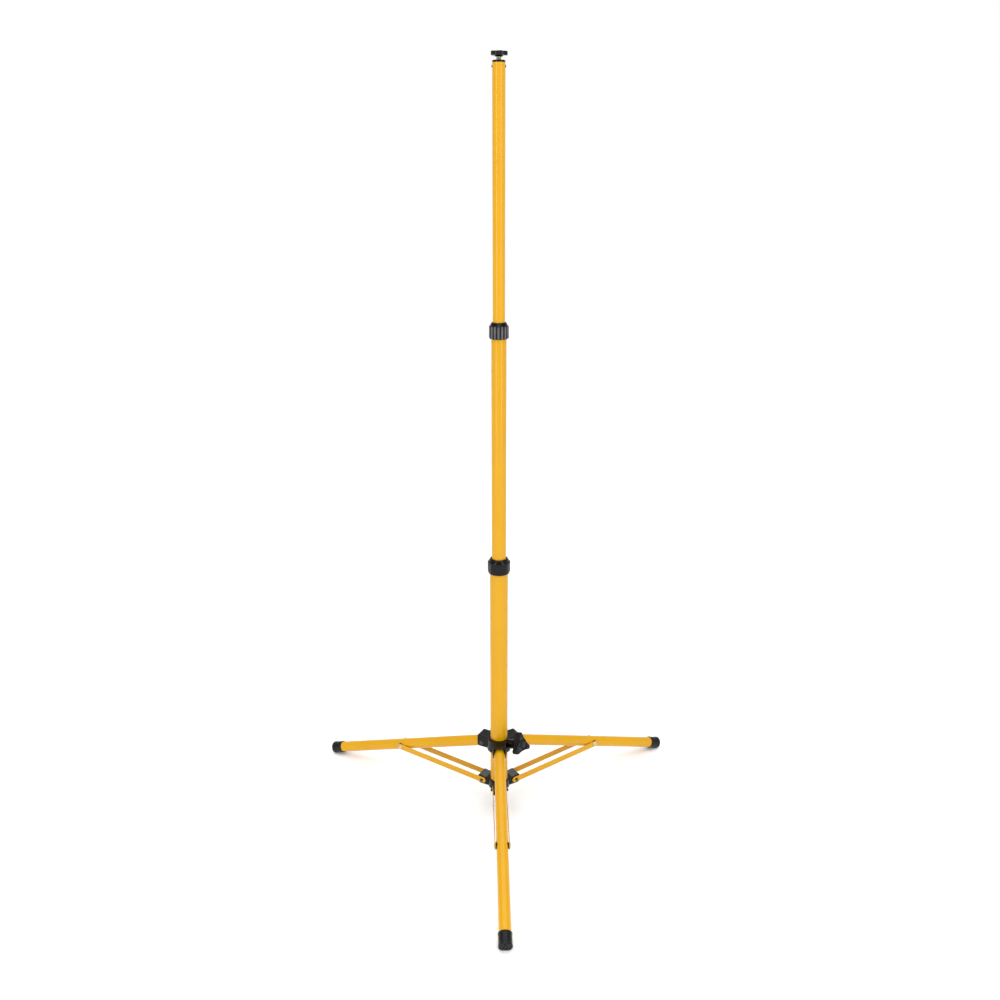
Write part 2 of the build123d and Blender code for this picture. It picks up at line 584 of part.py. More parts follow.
for name, azimuth in LEGS.items():
    with BuildPart() as leg_tube:
        with BuildSketch(leg_plane(azimuth, TUBE_START)):
            Circle(LEG_R)
            Circle(LEG_R - WALL, mode=Mode.SUBTRACT)
        extrude(amount=TUBE_END - TUBE_START)
        with BuildSketch(radial_plane(azimuth)):
            with Locations((HUB_PIVOT_R, HUB_PIVOT_Z)):
                Circle(PIN_R + PIN_GAP)
            with Locations((RIVET_RADIUS, RIVET_HEIGHT)):
                Circle(PIN_R)
        extrude(amount=LEG_R + CUT, both=True, mode=Mode.SUBTRACT)
    save(leg_tube, f"leg_tube_{name}")

    with BuildPart() as leg_plug:
        with BuildSketch(leg_plane(azimuth, TUBE_START)):
            Circle(LEG_R - WALL)
        extrude(amount=LEG_PLUG_L)
        with BuildSketch(radial_plane(azimuth)):
            with Locations((HUB_PIVOT_R, HUB_PIVOT_Z)):
                Circle(PIN_R + PIN_GAP)
        extrude(amount=LEG_R, both=True, mode=Mode.SUBTRACT)
    save(leg_plug, f"leg_plug_{name}")

    with BuildPart() as foot_cap:
        with BuildSketch(leg_plane(azimuth, CAP_MOUTH)):
            Circle(FOOT_R)
        extrude(amount=LEG_REACH - CAP_MOUTH)
        end_edge = foot_cap.edges().filter_by(GeomType.CIRCLE).sort_by(Axis.Z)[0]
        chamfer(end_edge, length=FOOT_EDGE)
        with BuildSketch(leg_plane(azimuth, CAP_MOUTH)):
            Circle(LEG_R)
        extrude(amount=TUBE_END - CAP_MOUTH, mode=Mode.SUBTRACT)
        split(bisect_by=Plane.XY, keep=Keep.TOP)
    save(foot_cap, f"foot_cap_{name}")

    with BuildPart() as brace_rivet:
        with BuildSketch(radial_plane(azimuth)):
            with Locations((RIVET_RADIUS, RIVET_HEIGHT)):
                Circle(PIN_R)
        extrude(amount=RIVET_HALF, both=True)
        for side in (1, -1):
            with BuildSketch(radial_plane(azimuth, side * RIVET_HALF)):
                with Locations((RIVET_RADIUS, RIVET_HEIGHT)):
                    Circle(HEAD_R)
            extrude(amount=side * HEAD_H, taper=HEAD_TAPER)
    save(brace_rivet, f"brace_rivet_{name}")

    with BuildPart() as brace_spacers:
        for side in (1, -1):
            with BuildSketch(radial_plane(azimuth, side * SPACER_START)):
                with Locations((RIVET_RADIUS, RIVET_HEIGHT)):
                    Circle(SPACER_R)
                    Circle(PIN_R, mode=Mode.SUBTRACT)
            extrude(amount=side * (SPACER_END - SPACER_START))
        with BuildSketch(leg_plane(azimuth, RIVET_REACH - SADDLE_HALF)):
            Circle(LEG_R)
        extrude(amount=2 * SADDLE_HALF, mode=Mode.SUBTRACT)
    save(brace_spacers, f"brace_spacers_{name}")

    for letter, side in (("a", 1), ("b", -1)):
        with BuildPart() as brace:
            with BuildSketch(radial_plane(azimuth, side * STRIP_IN)):
                middle = ((SPIDER_PIVOT_R + RIVET_RADIUS) / 2, (SPIDER_PIVOT_Z + RIVET_HEIGHT) / 2)
                with Locations(middle):
                    SlotOverall(BRACE_REACH + 2 * STRIP_END, STRIP_W, rotation=BRACE_SLOPE)
                with Locations((SPIDER_PIVOT_R, SPIDER_PIVOT_Z)):
                    Circle(PIN_R, mode=Mode.SUBTRACT)
                with Locations((RIVET_RADIUS, RIVET_HEIGHT)):
                    Circle(PIN_R + PIN_GAP, mode=Mode.SUBTRACT)
            extrude(amount=side * STRIP_T)
        save(brace, f"brace_{name}_{letter}")

    with BuildPart() as brace_end_rivets:
        for side in (1, -1):
            with BuildSketch(radial_plane(azimuth, side * STRIP_IN)):
                with Locations((SPIDER_PIVOT_R, SPIDER_PIVOT_Z)):
                    Circle(PIN_R)
            extrude(amount=side * (STRIP_T + STUB_L))
        outer_rims = brace_end_rivets.edges().filter_by(GeomType.CIRCLE).filter_by(
            lambda edge: abs(radial_plane(azimuth).to_local_coords(edge.center()).Z) > STRIP_IN + CUT)
        fillet(outer_rims, radius=STUB_ROUND)
    save(brace_end_rivets, f"brace_end_rivets_{name}")


# ---------------------------------------------------------------- how the stand moves
FOLDED_RADIUS = HUB_PIVOT_R + RIVET_REACH * cos(radians(FOLDED_SLOPE))
folded_brace_cos = (FOLDED_RADIUS - SPIDER_PIVOT_R) / BRACE_REACH
folded_brace_sin = (1 - folded_brace_cos ** 2) ** 0.5
FOLDED_BRACE_SLOPE = degrees(atan2(folded_brace_sin, folded_brace_cos))
FOLD_TRAVEL = (RIVET_REACH * (sin(radians(FOLDED_SLOPE)) - sin(radians(LEG_SLOPE)))
               + BRACE_REACH * (folded_brace_sin - sin(radians(BRACE_SLOPE))))
print(f"hub pivot        radius {HUB_PIVOT_R:.3f} height {HUB_PIVOT_Z:.4f}")
print(f"brace rivet      radius {RIVET_RADIUS:.4f} height {RIVET_HEIGHT:.4f}")
print(f"brace slope      {BRACE_SLOPE:.4f} open, {FOLDED_BRACE_SLOPE:.4f} folded")
print(f"hub travel       {FOLD_TRAVEL:.4f}")
print(f"leg turn         {FOLDED_SLOPE - LEG_SLOPE:.4f}")
print(f"thread advance   {THREAD_PITCH / tau:.6f} per radian")
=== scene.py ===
"""Looks of the telescopic tripod stand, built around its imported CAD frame. Metres, +Z up."""
import json
import math
import bmesh
import bpy
from mathutils import Matrix, Vector


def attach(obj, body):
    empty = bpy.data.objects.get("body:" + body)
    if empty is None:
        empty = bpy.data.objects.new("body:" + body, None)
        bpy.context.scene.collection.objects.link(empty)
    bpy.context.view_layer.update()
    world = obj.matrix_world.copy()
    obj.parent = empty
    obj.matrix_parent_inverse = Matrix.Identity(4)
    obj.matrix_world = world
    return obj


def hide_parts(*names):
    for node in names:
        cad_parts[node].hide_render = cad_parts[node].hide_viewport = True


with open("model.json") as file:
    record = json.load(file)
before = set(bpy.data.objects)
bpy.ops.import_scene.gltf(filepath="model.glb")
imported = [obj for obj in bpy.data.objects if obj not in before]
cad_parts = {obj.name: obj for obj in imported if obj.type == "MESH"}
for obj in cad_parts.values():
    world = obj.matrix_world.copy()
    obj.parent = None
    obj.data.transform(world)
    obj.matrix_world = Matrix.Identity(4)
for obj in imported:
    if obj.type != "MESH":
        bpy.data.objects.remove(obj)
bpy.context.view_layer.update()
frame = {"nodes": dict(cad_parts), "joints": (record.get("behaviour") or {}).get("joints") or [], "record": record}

MM = 0.001
LEGS = ("front", "right", "left")
JOINTS = {joint["name"]: joint for joint in frame["joints"]}
BODIES = frame["record"]["behaviour"]["bodies"]
BODY_OF = {node: body for body, nodes in BODIES.items() for node in nodes}
SLOT_OF = {part["node"]: part["material_slot"] for part in frame["record"]["subparts"]}


# ---------------------------------------------------------------- camera, floor and light
CAMERA_PLACE = Vector((-0.0428, -1.6638, 1.1663))
CAMERA_HEADING = Vector((0.0268, 0.9996, 0.0))
CAMERA_PITCH = math.radians(18.62)        # downwards
CAMERA_LENS = 37.15                       # mm
CAMERA_SENSOR = 36.0                      # mm
FLOOR_HALF = 30.0
FLOOR_ALBEDO = 0.94
HORIZON_WHITE = (0.16, 1.0)               # upward component of a direction, strength of the surroundings
SKY_GREY = (0.42, 0.50)
LAMP_STRENGTH = 1.8
LAMP_ANGLE = math.radians(70)
LAMP_TARGET = (0, 0, 0.6)
SOFT_BOXES = {                            # place, width and height, watts
    "soft_box_left": ((-1.5, -1.7, 1.1), (0.45, 2.2), 16),
    "soft_box_right": ((1.5, -1.7, 1.1), (0.45, 2.2), 16),
    "high_box": ((0.0, -1.3, 2.6), (1.6, 0.6), 10),
    "back_box": ((0.0, 2.4, 2.2), (1.6, 0.6), 9),
}


def make_camera():
    """The viewing angle: from the front, at chest height, looking slightly down."""
    data = bpy.data.cameras.new("view_camera")
    data.lens = CAMERA_LENS
    data.sensor_width = CAMERA_SENSOR
    camera = bpy.data.objects.new("view_camera", data)
    bpy.context.scene.collection.objects.link(camera)
    look = CAMERA_HEADING.normalized() * math.cos(CAMERA_PITCH) - Vector((0, 0, math.sin(CAMERA_PITCH)))
    camera.location = CAMERA_PLACE
    camera.rotation_euler = look.to_track_quat("-Z", "Y").to_euler()
    bpy.context.scene.camera = camera


def make_floor():
    """A wide, plain, pale floor."""
    mesh = bpy.data.meshes.new("floor")
    half = FLOOR_HALF
    corners = [(-half, -half, 0), (half, -half, 0), (half, half, 0), (-half, half, 0)]
    mesh.from_pydata(corners, [], [(0, 1, 2, 3)])
    floor = bpy.data.objects.new("floor", mesh)
    bpy.context.scene.collection.objects.link(floor)
    paint = bpy.data.materials.new("floor_paint")
    paint.use_nodes = True
    shader = paint.node_tree.nodes["Principled BSDF"]
    shader.inputs["Base Color"].default_value = (FLOOR_ALBEDO, FLOOR_ALBEDO, FLOOR_ALBEDO, 1)
    shader.inputs["Roughness"].default_value = 0.9
    shader.inputs["Specular IOR Level"].default_value = 0.1
    mesh.materials.append(paint)


def make_area_light(name, place, target, size, watts):
    """A rectangular soft box that faces a target."""
    data = bpy.data.lights.new(name, "AREA")
    data.shape = "RECTANGLE"
    data.size, data.size_y = size
    data.energy = watts
    light = bpy.data.objects.new(name, data)
    bpy.context.scene.collection.objects.link(light)
    light.location = place
    light.rotation_euler = (Vector(target) - Vector(place)).to_track_quat("-Z", "Y").to_euler()


def make_studio():
    """White surroundings low down, grey overhead, a wide lamp above and four soft boxes."""
    world = bpy.data.worlds.new("studio")
    world.use_nodes = True
    nodes, links = world.node_tree.nodes, world.node_tree.links
    direction = nodes.new("ShaderNodeTexCoord")
    split = nodes.new("ShaderNodeSeparateXYZ")
    links.new(direction.outputs["Generated"], split.inputs["Vector"])
    fade = nodes.new("ShaderNodeMapRange")
    fade.inputs["From Min"].default_value, fade.inputs["To Min"].default_value = HORIZON_WHITE
    fade.inputs["From Max"].default_value, fade.inputs["To Max"].default_value = SKY_GREY
    links.new(split.outputs["Z"], fade.inputs["Value"])
    nodes["Background"].inputs["Color"].default_value = (1, 1, 1, 1)
    links.new(fade.outputs["Result"], nodes["Background"].inputs["Strength"])
    bpy.context.scene.world = world
    bpy.context.scene.view_settings.view_transform = "Standard"
    data = bpy.data.lights.new("overhead", "SUN")
    data.energy = LAMP_STRENGTH
    data.angle = LAMP_ANGLE
    light = bpy.data.objects.new("overhead", data)
    bpy.context.scene.collection.objects.link(light)
    light.location = (0, 0, 4)
    for name, (place, size, watts) in SOFT_BOXES.items():
        make_area_light(name, place, LAMP_TARGET, size, watts)


# ---------------------------------------------------------------- materials
YELLOW_LOW = (0.570, 0.287, 0.001)
YELLOW_HIGH = (0.607, 0.307, 0.001)
YELLOW_SPECKLE = (0.52, 0.247, 0.002)
YELLOW_RUBBED = (0.68, 0.365, 0.02)
BARE_STEEL = (0.30, 0.29, 0.27)
DUST = (0.16, 0.155, 0.15)
RUST = (0.20, 0.085, 0.030)
SCUFFED_RUBBER = (0.07, 0.068, 0.065)
EDGE_RUBBER = (0.055, 0.055, 0.055)
CREST_HIGHLIGHT = 0.105                      # how much lighter the painted highlight on a rib crest or lip is
# Lift of the paler plastic edges: partly wear, partly painted highlight.
EDGE_HIGHLIGHT_AND_WEAR = 0.045


class Finish:
    """Short calls for building one material's node tree."""

    def __init__(self, name):
        self.material = bpy.data.materials.new(name)
        self.material.use_nodes = True
        self.nodes = self.material.node_tree.nodes
        self.links = self.material.node_tree.links
        self.shader = self.nodes["Principled BSDF"]
        self.place = self.nodes.new("ShaderNodeTexCoord").outputs["Object"]

    def stretched(self, scale):
        """Object coordinates scaled differently along each axis."""
        node = self.nodes.new("ShaderNodeMapping")
        node.inputs["Scale"].default_value = scale
        self.links.new(self.place, node.inputs["Vector"])
        return node.outputs["Vector"]

    def noise(self, scale, detail=3.0, roughness=0.55, where=None):
        """Noise between 0 and 1, scale in cycles per metre."""
        node = self.nodes.new("ShaderNodeTexNoise")
        node.inputs["Scale"].default_value = scale
        node.inputs["Detail"].default_value = detail
        node.inputs["Roughness"].default_value = roughness
        self.links.new(where or self.place, node.inputs["Vector"])
        return node.outputs["Fac"]

    def ramp(self, value, low, high, start=0.0, end=1.0):
        """Value from low..high mapped to start..end and clamped."""
        node = self.nodes.new("ShaderNodeMapRange")
        node.inputs["From Min"].default_value = low
        node.inputs["From Max"].default_value = high
        node.inputs["To Min"].default_value = start
        node.inputs["To Max"].default_value = end
        self.links.new(value, node.inputs["Value"])
        return node.outputs["Result"]

    def math(self, operation, first, second):
        """One arithmetic step; each input is a socket or a number."""
        node = self.nodes.new("ShaderNodeMath")
        node.operation = operation
        for socket, value in zip(node.inputs, (first, second)):
            if isinstance(value, (int, float)):
                socket.default_value = value
            else:
                self.links.new(value, socket)
        return node.outputs["Value"]

    def mix(self, share, first, second):
        """Colour mix; each colour is a socket or three numbers."""
        node = self.nodes.new("ShaderNodeMix")
        node.data_type = "RGBA"
        self.links.new(share, node.inputs["Factor"])
        for socket, value in ((node.inputs[6], first), (node.inputs[7], second)):
            if isinstance(value, tuple):
                socket.default_value = (*value, 1)
            else:
                self.links.new(value, socket)
        return node.outputs[2]

    def edges(self, radius, low, high):
        """Mask that is 1 on sharp edges, from the angle by which a bevel would turn the surface."""
        bevel = self.nodes.new("ShaderNodeBevel")
        bevel.samples = 4
        bevel.inputs["Radius"].default_value = radius
        geometry = self.nodes.new("ShaderNodeNewGeometry")
        turn = self.nodes.new("ShaderNodeVectorMath")
        turn.operation = "DOT_PRODUCT"
        self.links.new(bevel.outputs["Normal"], turn.inputs[0])
        self.links.new(geometry.outputs["Normal"], turn.inputs[1])
        return self.ramp(self.math("SUBTRACT", 1.0, turn.outputs["Value"]), low, high)

    def bump(self, height, depth, strength=1.0, below=None):
        """Bump node; height 0..1 stands for depth metres."""
        node = self.nodes.new("ShaderNodeBump")
        node.inputs["Strength"].default_value = strength
        node.inputs["Distance"].default_value = depth
        self.links.new(height, node.inputs["Height"])
        if below is not None:
            self.links.new(below, node.inputs["Normal"])
        return node.outputs["Normal"]

    def finish(self, colour, roughness, normal=None, metallic=None, **numbers):
        """Connect the results; numbers are uniform values set on the shader itself."""
        self.links.new(colour, self.shader.inputs["Base Color"])
        self.links.new(roughness, self.shader.inputs["Roughness"])
        if normal is not None:
            self.links.new(normal, self.shader.inputs["Normal"])
        if metallic is not None:
            self.links.new(metallic, self.shader.inputs["Metallic"])
        for name, value in numbers.items():
            self.shader.inputs[name.replace("_", " ")].default_value = value
        return self.material


def yellow_paint():
    """Powder coat: slight orange peel, drifts of tone, fine rubbing along the tube, chipped rims."""
    f = Finish("yellow_paint")
    tone = f.noise(9, detail=4)
    speckle = f.noise(420, detail=2)
    base = f.mix(f.ramp(tone, 0.35, 0.65), YELLOW_LOW, YELLOW_HIGH)
    base = f.mix(f.ramp(speckle, 0.62, 0.80, 0.0, 0.35), base, YELLOW_SPECKLE)
    rubbed = f.ramp(f.noise(1, detail=5, where=f.stretched((900, 900, 14))), 0.60, 0.78)
    base = f.mix(f.math("MULTIPLY", rubbed, 0.18), base, YELLOW_RUBBED)
    chip = f.math("MULTIPLY", f.edges(0.0006, 0.06, 0.22), f.ramp(f.noise(300, detail=5), 0.48, 0.62))
    base = f.mix(chip, base, BARE_STEEL)
    rough = f.math("ADD", f.ramp(f.noise(60), 0.3, 0.7, 0.17, 0.24), f.math("MULTIPLY", rubbed, 0.10))
    peel = f.bump(f.noise(750, detail=1.5), 0.00002, 0.55)
    return f.finish(base, rough, f.bump(chip, -0.00006, 1.0, peel), Specular_IOR_Level=0.32)


def moulded_plastic(name, dark, light, low_rough, high_rough, grain_depth):
    """Spark-eroded grain, slight tone drift, softened edges, paler edges that are partly wear and partly painted
    highlight, and a painted highlight on rib crests and lips.
    """
    f = Finish(name)
    base = f.mix(f.ramp(f.noise(45, detail=4), 0.35, 0.65), dark, light)
    # Paler edges in patches: partly wear, partly a painted highlight along the edges.
    edge_wear_and_highlight_colour = tuple(min(1.0, 1.2 * value + EDGE_HIGHLIGHT_AND_WEAR) for value in light)
    edge_wear_and_highlight = f.math("MULTIPLY", f.edges(0.0006, 0.04, 0.24), f.ramp(f.noise(160, detail=4), 0.40, 0.62))
    base = f.mix(edge_wear_and_highlight, base, edge_wear_and_highlight_colour)
    # Painted highlight: rib crests and lips, where the crest attribute is high, are painted lighter in patches.
    lifted = f.nodes.new("ShaderNodeAttribute")
    lifted.attribute_name = "crest"
    patches = f.ramp(f.noise(90), 0.25, 0.6, 0.55, 1.0)
    crest_highlight = f.math("MULTIPLY", f.ramp(lifted.outputs["Fac"], 0.45, 0.95), patches)
    base = f.mix(crest_highlight, base, tuple(min(1.0, value + CREST_HIGHLIGHT) for value in light))
    dust = f.ramp(f.noise(25, detail=6), 0.55, 0.80, 0.0, 0.04)
    base = f.mix(dust, base, DUST)
    rough = f.ramp(f.noise(130, detail=3), 0.3, 0.7, low_rough, high_rough)
    soft = f.nodes.new("ShaderNodeBevel")
    soft.samples = 4
    soft.inputs["Radius"].default_value = 0.0008
    grain = f.bump(f.noise(2600, detail=1), grain_depth, 0.6, soft.outputs["Normal"])
    return f.finish(base, rough, grain, Specular_IOR_Level=0.20)


def rubber():
    """Foot rubber: matt with a bloom, scuffed where it meets the floor."""
    f = Finish("black_rubber")
    base = f.mix(f.ramp(f.noise(60, detail=5), 0.35, 0.7), (0.005, 0.005, 0.006), (0.010, 0.010, 0.011))
    height = f.nodes.new("ShaderNodeSeparateXYZ")
    f.links.new(f.place, height.inputs[0])
    low = f.ramp(height.outputs["Z"], 0.004, 0.0005)
    scuff = f.math("MULTIPLY", low, f.ramp(f.noise(240, detail=5), 0.40, 0.62))
    base = f.mix(scuff, base, SCUFFED_RUBBER)
    edge = f.math("MULTIPLY", f.edges(0.0005, 0.05, 0.25), f.ramp(f.noise(140, detail=4), 0.45, 0.65))
    base = f.mix(edge, base, EDGE_RUBBER)
    satin = f.ramp(f.noise(110, detail=4), 0.3, 0.7, 0.20, 0.30)
    rough = f.math("ADD", satin, f.math("MULTIPLY", scuff, 0.3))
    return f.finish(base, rough, f.bump(f.noise(1500, detail=2), 0.00001, 0.5), Specular_IOR_Level=0.16)


def metal(name, dark, light, low_rough, high_rough, metallic, rust=0.0):
    """Turned or plated steel: fine brushing, tarnish drifts, optional rust spots, bright edges."""
    f = Finish(name)
    brushing = f.noise(1, detail=3, where=f.stretched((300, 300, 4200)))
    base = f.mix(f.ramp(brushing, 0.3, 0.7), dark, light)
    tarnish = f.ramp(f.noise(220, detail=5), 0.52, 0.72, 0.0, 0.35)
    base = f.mix(tarnish, base, tuple(value * 0.55 for value in dark))
    if rust:
        spots = f.ramp(f.noise(380, detail=6), 0.56, 0.66, 0.0, rust)
        base = f.mix(spots, base, RUST)
    bright = f.math("MULTIPLY", f.edges(0.0004, 0.05, 0.3), f.ramp(f.noise(260, detail=3), 0.35, 0.6))
    base = f.mix(bright, base, tuple(min(1.0, value * 1.25 + 0.05) for value in light))
    rough = f.ramp(f.noise(500, detail=4), 0.3, 0.7, low_rough, high_rough)
    f.shader.inputs["Metallic"].default_value = metallic
    return f.finish(base, rough, f.bump(brushing, 0.00002, 0.4))


MATERIALS = {
    "yellow_paint": yellow_paint(),
    "black_plastic": moulded_plastic("black_plastic", (0.0018, 0.0018, 0.0021), (0.0035, 0.0035, 0.0039),
                                     0.10, 0.16, 0.000004),
    "grey_nylon": moulded_plastic("grey_nylon", (0.34, 0.34, 0.32), (0.42, 0.42, 0.40),
                                  0.42, 0.55, 0.00001),
    "black_nylon": moulded_plastic("black_nylon", (0.006, 0.006, 0.006), (0.010, 0.010, 0.011),
                                   0.34, 0.46, 0.00001),
    "black_rubber": rubber(),
    "zinc_steel": metal("zinc_steel", (0.40, 0.37, 0.28), (0.58, 0.54, 0.42), 0.24, 0.38, 1.0),
    "black_steel": metal("black_steel", (0.035, 0.033, 0.032), (0.070, 0.066, 0.062),
                         0.34, 0.50, 0.75, rust=0.5),
    "brass": metal("brass", (0.52, 0.38, 0.16), (0.72, 0.55, 0.27), 0.22, 0.36, 1.0),
}


def dress(piece, slot):
    """Give a piece the finish of a record slot."""
    piece.data.materials.clear()
    piece.data.materials.append(MATERIALS[slot])


# ---------------------------------------------------------------- sizes shared with the CAD, mm
LEG_REACH = 371.0         # leg pivot to the end of a foot cap
CAP_MOUTH = 348.0
LEG_R = 10.0
FOOT_R = 11.5
STRIP_W = 11.0
STRIP_T = 1.5
STRIP_IN = 11.5
STRIP_END = 8.0
STRIP_ROUND = 0.35
PIN_R = 2.5
STUB_L = 3.4
SPIDER_PIVOT = (30.0, 51.0)              # radius and height of the brace ends
ARM_HALF = 12.2
THREAD_R = 4.0
THREAD_PITCH = 1.25
THREAD_MINOR_R = 3.32
CLAMP_DIRECTION = Vector(JOINTS["clamp_turn"]["axis"]).normalized()
CLAMP_POINT = Vector(JOINTS["clamp_turn"]["pos_m"])
CLAMP_REACH = 48.0                       # distance of CLAMP_POINT along the screw


# ---------------------------------------------------------------- mesh building
def rounded(corners, steps=4):
    """Section line through (radius, height, fillet) corners, with each fillet as an arc."""
    line = []
    last = len(corners) - 1
    for index, (x, y, fillet) in enumerate(corners):
        here = Vector((x, y))
        if fillet == 0 or index in (0, last):
            line.append(here)
            continue
        before = (Vector(corners[index - 1][:2]) - here).normalized()
        after = (Vector(corners[index + 1][:2]) - here).normalized()
        half = before.angle(after) / 2
        reach = fillet / math.tan(half)
        centre = here + (before + after).normalized() * (fillet / math.sin(half))
        start = here + before * reach - centre
        turn = start.angle_signed(here + after * reach - centre)
        for step in range(steps + 1):
            angle = -turn * step / steps
            line.append(centre + Matrix.Rotation(angle, 2) @ start)
    return line


def frame_at(origin, along, across):
    """Matrix with Z along an axis and X across it; origin in metres."""
    z_axis = Vector(along).normalized()
    x_axis = (Vector(across) - Vector(across).dot(z_axis) * z_axis).normalized()
    y_axis = z_axis.cross(x_axis)
    turn = Matrix((x_axis, y_axis, z_axis)).transposed()
    return Matrix.Translation(origin) @ turn.to_4x4()


def in_mm(place):
    """The same placement for a mesh still measured in mm."""
    return Matrix.Scale(1 / MM, 4) @ place @ Matrix.Scale(MM, 4)


def add_piece(name, mesh_data, place, node, sharp=38):
    """Make an object from a bmesh in mm, put it in place of a CAD node and dress it."""
    bmesh.ops.recalc_face_normals(mesh_data, faces=mesh_data.faces)
    mesh = bpy.data.meshes.new(name)
    mesh_data.to_mesh(mesh)
    mesh_data.free()
    mesh.transform(place @ Matrix.Scale(MM, 4))
    mesh.shade_smooth()
    mesh.set_sharp_from_angle(angle=math.radians(sharp))
    piece = bpy.data.objects.new(name, mesh)
    bpy.context.scene.collection.objects.link(piece)
    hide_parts(node)
    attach(piece, BODY_OF[node])
    dress(piece, SLOT_OF[node])
    return piece


def add_turned(mesh_data, section, segments=64, shape=None, closed=True, shift=None, crests=False):
    """Add a surface of revolution; shape may bend the radius by angle and section index.

    With crests, the attribute "crest" holds how far shape lifts each point, in mm; the plastic finishes paint a
    highlight where it is high.
    """
    rings = []
    crest = mesh_data.verts.layers.float.get("crest") or mesh_data.verts.layers.float.new("crest")
    for index, (radius, height) in enumerate(section):
        if radius < 1e-6:
            rings.append([mesh_data.verts.new((0, 0, height))])
            continue
        ring = []
        for step in range(segments):
            angle = math.tau * step / segments
            reach = shape(radius, height, angle, index) if shape else radius
            vertex = mesh_data.verts.new((reach * math.cos(angle), reach * math.sin(angle), height))
            vertex[crest] = max(0.0, reach - radius) if crests else 0.0
            ring.append(vertex)
        rings.append(ring)
    pairs = list(zip(rings, rings[1:]))
    if closed and len(rings[0]) > 1 and len(rings[-1]) > 1:
        pairs.append((rings[-1], rings[0]))
    for lower, upper in pairs:
        for step in range(segments):
            after = (step + 1) % segments
            if len(lower) == 1 and len(upper) > 1:
                mesh_data.faces.new((lower[0], upper[after], upper[step]))
            elif len(upper) == 1 and len(lower) > 1:
                mesh_data.faces.new((lower[step], lower[after], upper[0]))
            elif len(lower) > 1:
                mesh_data.faces.new((lower[step], lower[after], upper[after], upper[step]))
    if shift is not None:
        made = [vertex for ring in rings for vertex in ring]
        bmesh.ops.transform(mesh_data, matrix=shift, verts=made)


def turned(name, node, place, section, **options):
    """A piece made of one surface of revolution."""
    mesh_data = bmesh.new()
    add_turned(mesh_data, section, **options)
    add_piece(name, mesh_data, place, node)


# ---------------------------------------------------------------- shapes that bend a radius
def finely(section, longest):
    """The same section line with no step longer than the given length."""
    line = [Vector(section[0])]
    for point in section[1:]:
        start = line[-1]
        count = max(1, math.ceil((Vector(point) - start).length / longest))
        line += [start.lerp(Vector(point), step / count) for step in range(1, count + 1)]
    return line


def smooth_step(value, low, high):
    """0 below low, 1 above high, smooth between them."""
    share = min(1.0, max(0.0, (value - low) / (high - low)))
    return share * share * (3 - 2 * share)


def ribs(azimuths, half_width, depth, bottom, top, inner_radius, run_out=1.2):
    """Rounded upright ribs on an outside surface, between two heights."""
    def shape(radius, height, angle, index):
        if radius < inner_radius:
            return radius
        window = smooth_step(height, bottom, bottom + run_out) * smooth_step(top - height, 0, run_out)
        turn = min(abs((math.degrees(angle) - azimuth + 180) % 360 - 180) for azimuth in azimuths)
        across = radius * math.radians(turn) / half_width
        crest = math.sqrt(1 - across * across) if across < 1 else 0.0
        return radius + depth * window * crest
    return shape


def helix(minor_radius, pitch, start, end, lead=1.6):
    """A single-start screw thread between two heights, running out at both ends."""
    def shape(radius, height, angle, index):
        if radius < THREAD_R - 0.01:
            return radius
        phase = (height / pitch - angle / math.tau) % 1.0
        crest = 1 - abs(2 * phase - 1)
        crest = smooth_step(crest, 0.12, 0.88)
        window = smooth_step(height, start, start + 0.4) * smooth_step(end - height, 0, lead)
        full = minor_radius + (radius - minor_radius) * crest
        shank = minor_radius if height > end - lead else radius
        return shank + (full - shank) * window
    return shape


def lobed_radius(angle, inset, lobes, lobe_distance, lobe_radius, valley_radius, first_angle):
    """Distance to a lobed knob's outline, moved inwards by inset, in one direction."""
    half = math.pi / lobes
    step = lobe_radius - valley_radius
    concave_distance = (lobe_distance ** 2 - step ** 2) / (2 * (lobe_distance * math.cos(half) + step))
    concave_radius = concave_distance - valley_radius
    turn = abs((angle - math.radians(first_angle) + half) % (2 * half) - half)
    share = (lobe_radius - inset) / (lobe_radius + concave_radius)
    touch_x = lobe_distance + (concave_distance * math.cos(half) - lobe_distance) * share
    touch_y = concave_distance * math.sin(half) * share
    if turn <= math.atan2(touch_y, touch_x):
        reach = (lobe_radius - inset) ** 2 - (lobe_distance * math.sin(turn)) ** 2
        return lobe_distance * math.cos(turn) + math.sqrt(max(0.0, reach))
    turn = half - turn
    reach = (concave_radius + inset) ** 2 - (concave_distance * math.sin(turn)) ** 2
    return concave_distance * math.cos(turn) - math.sqrt(max(0.0, reach))


def lobed(levels, outline):
    """Shape for a knob: each level is (inset, share of the lobed outline)."""
    def shape(radius, height, angle, index):
        inset, share = levels[index]
        return radius + (lobed_radius(angle, inset, **outline) - radius) * share
    return shape


# ---------------------------------------------------------------- pieces along the mast
UPRIGHT = frame_at((0, 0, 0), (0, 0, 1), (1, 0, 0))


LOWER_RIB_STEP = 12                      # degrees
UPPER_RIBS = 16
FIRST_RIB = -3.8                         # degrees
NOTCHES = (66, 114, 246, 294)            # degrees
NOTCH_HALF_WIDTH = 5.5                   # degrees
NOTCH_HEIGHT = 491.4
NOTCH_HALF_HEIGHT = 2.2
NOTCH_DEPTH = 0.9
LIP_HEIGHT = 494.6
LIP_HALF_HEIGHT = 1.5
LIP_RISE = 1.0


